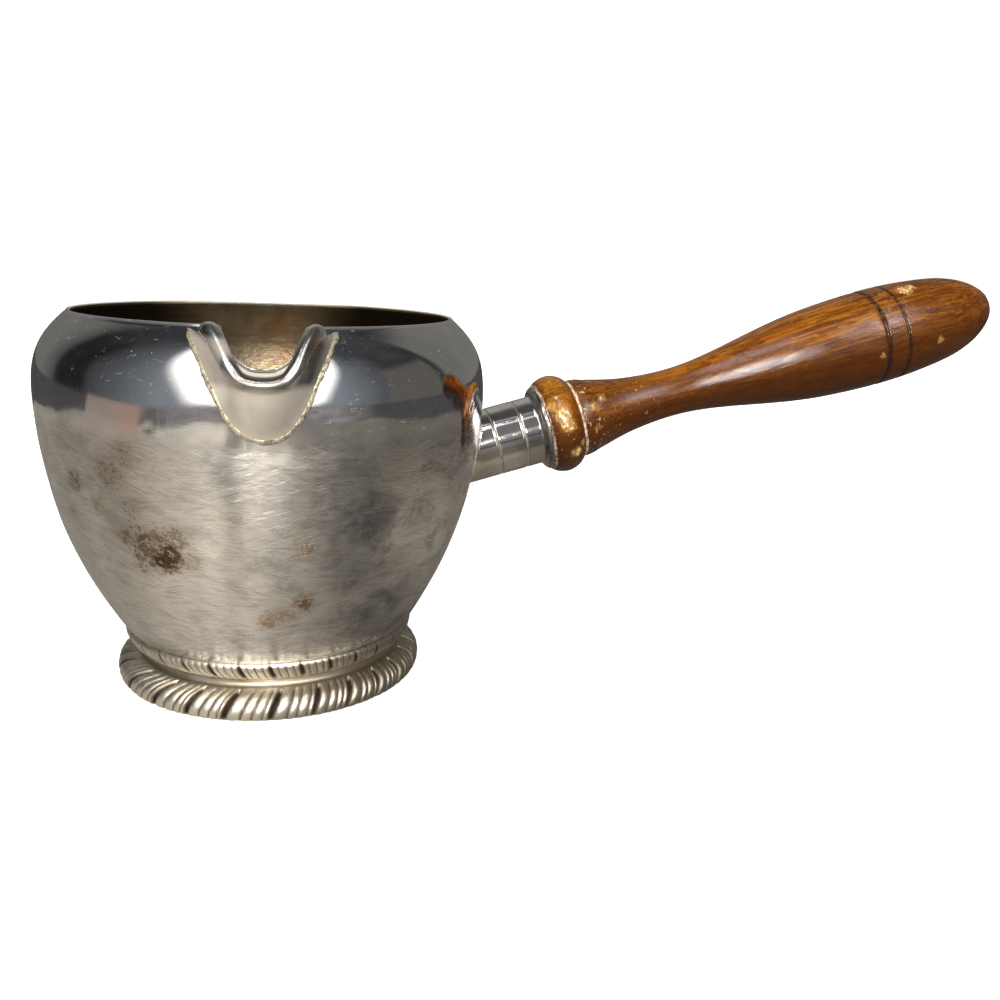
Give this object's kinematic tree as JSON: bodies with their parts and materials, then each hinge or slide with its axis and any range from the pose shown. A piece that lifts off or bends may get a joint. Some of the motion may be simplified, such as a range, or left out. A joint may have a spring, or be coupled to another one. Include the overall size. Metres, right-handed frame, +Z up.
{
  "type": "brandy warmer",
  "caption": "Brandy warmer: silver-plated bowl on a cast gadroon foot, with a soldered pouring lip and a turned wooden handle in a tubular socket at a right angle to the lip.",
  "frame": {"origin": "middle of the object's footprint box, on the surface it stands on; the bowl's axis is vertical at x = -62.6 mm, y = +2.1 mm", "axes": "+X from the bowl towards the end of the handle, -Y towards the pouring lip's side, +Z up"},
  "size_m": [0.2152, 0.0942, 0.0885],
  "materials": {
    "silver_plate": "silver plate over brass, polished shoulder, brushed and tarnished belly",
    "lip_plate": "silver plate over brass, polished",
    "socket_plate": "silver plate over brass, polished, two engraved lines",
    "cast_plate": "cast and silver-plated gadroon border, dark in its recesses",
    "solder": "dull yellowed solder line",
    "varnished_wood": "turned hardwood under worn amber varnish",
    "pin_brass": "filed flush, dull"
  },
  "bodies": {
    "root": {"bowl": "silver_plate", "pouring_lip": "lip_plate", "lip_solder": "solder", "foot_ring": "cast_plate", "foot_solder": "solder", "handle_socket": "socket_plate", "socket_solder": "solder", "wooden_handle": "varnished_wood", "handle_pin": "pin_brass"}
  },
  "joints": []
}
